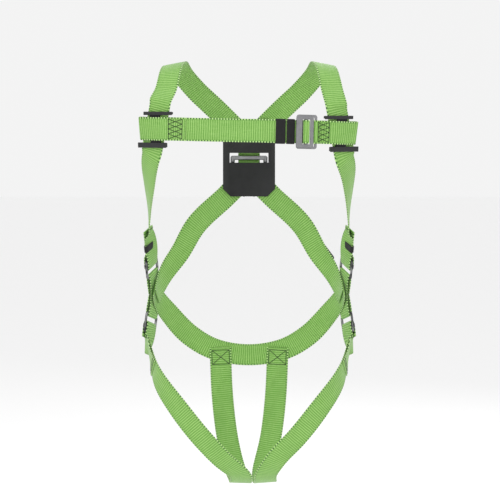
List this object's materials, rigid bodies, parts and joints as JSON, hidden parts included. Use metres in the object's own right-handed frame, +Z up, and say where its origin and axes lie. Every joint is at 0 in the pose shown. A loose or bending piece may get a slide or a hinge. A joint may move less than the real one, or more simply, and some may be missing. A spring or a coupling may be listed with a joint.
{
  "type": "full body climbing harness",
  "caption": "Full-body harness of sewn green webbing: shoulder, chest, seat and leg straps, chest buckle, hip adjusters and a swinging dorsal ring.",
  "frame": {"origin": "centre of the dorsal ring's straight bar, which is the ring's pivot", "axes": "+X to the wearer's left, +Y out of the wearer's back (the front faces -Y), +Z up"},
  "size_m": [0.4325, 0.2837, 0.8487],
  "materials": {
    "webbing": "woven polyester, bright green",
    "bright_steel": "satin zinc plated",
    "dark_steel": "black coated",
    "black_plastic": "matte moulded",
    "elastic": "black knitted elastic",
    "label": "pale coated cloth"
  },
  "bodies": {
    "harness": {"dorsal_plate": "black_plastic", "seat_strap": "webbing", "chest_strap_right": "webbing", "chest_strap_left": "webbing", "chest_buckle_plate": "bright_steel", "chest_buckle_frame": "bright_steel", "label_sleeve": "label", "main_strap_left": "webbing", "leg_strap_left": "webbing", "hip_strap_left": "webbing", "guide_plate_left": "black_plastic", "side_adjuster_frame_left": "dark_steel", "leg_buckle_frame_left": "dark_steel", "main_strap_right": "webbing", "leg_strap_right": "webbing", "hip_strap_right": "webbing", "guide_plate_right": "black_plastic", "side_adjuster_frame_right": "dark_steel", "leg_buckle_frame_right": "dark_steel"},
    "dorsal_ring": {"dorsal_ring": "bright_steel"},
    "chest_bar": {"chest_buckle_bar": "bright_steel"},
    "keeper_outer": {"chest_keeper_outer": "elastic"},
    "keeper_inner": {"chest_keeper_inner": "elastic"},
    "label_flap": {"label_cover": "label"},
    "side_bar_left": {"side_adjuster_bar_left": "dark_steel"},
    "leg_bar_left": {"leg_buckle_bar_left": "dark_steel"},
    "side_keeper_left": {"side_keeper_left": "elastic"},
    "side_bar_right": {"side_adjuster_bar_right": "dark_steel"},
    "leg_bar_right": {"leg_buckle_bar_right": "dark_steel"},
    "side_keeper_right": {"side_keeper_right": "elastic"}
  },
  "joints": [
    {"name": "dorsal_ring_swing", "type": "hinge", "parent": "harness", "child": "dorsal_ring", "pos_m": [0, 0, 0], "axis": [1, 0, 0], "range_deg": [0, 140]},
    {"name": "chest_bar_slide", "type": "slide", "parent": "harness", "child": "chest_bar", "axis": [0.9855, 0.1673, -0.0282], "range_m": [0, 0.0015]},
    {"name": "keeper_outer_slide", "type": "slide", "parent": "harness", "child": "keeper_outer", "axis": [-0.9855, -0.1673, 0.0282], "range_m": [0, 0.012]},
    {"name": "keeper_inner_slide", "type": "slide", "parent": "harness", "child": "keeper_inner", "axis": [-0.9855, -0.1673, 0.0282], "range_m": [0, 0.012]},
    {"name": "label_flap_hinge", "type": "hinge", "parent": "harness", "child": "label_flap", "pos_m": [0.13571, -0.03404, -0.18163], "axis": [0.6346, -0.3787, 0.6737], "range_deg": [0, 120]},
    {"name": "side_bar_slide_left", "type": "slide", "parent": "harness", "child": "side_bar_left", "axis": [-0.0765, 0.2819, -0.9564], "range_m": [0, 0.003]},
    {"name": "leg_bar_slide_left", "type": "slide", "parent": "harness", "child": "leg_bar_left", "axis": [-0.1252, 0.2656, 0.9559], "range_m": [0, 0.003]},
    {"name": "side_keeper_slide_left", "type": "slide", "parent": "harness", "child": "side_keeper_left", "axis": [0.0765, -0.2819, 0.9564], "range_m": [0, 0.008]},
    {"name": "side_bar_slide_right", "type": "slide", "parent": "harness", "child": "side_bar_right", "axis": [0.0765, 0.2819, -0.9564], "range_m": [0, 0.003]},
    {"name": "leg_bar_slide_right", "type": "slide", "parent": "harness", "child": "leg_bar_right", "axis": [0.1252, 0.2656, 0.9559], "range_m": [0, 0.003]},
    {"name": "side_keeper_slide_right", "type": "slide", "parent": "harness", "child": "side_keeper_right", "axis": [-0.0765, -0.2819, 0.9564], "range_m": [0, 0.008]}
  ],
  "couplings": [
    {"joint": "keeper_inner_slide", "follows": "keeper_outer_slide", "ratio": 1}
  ]
}
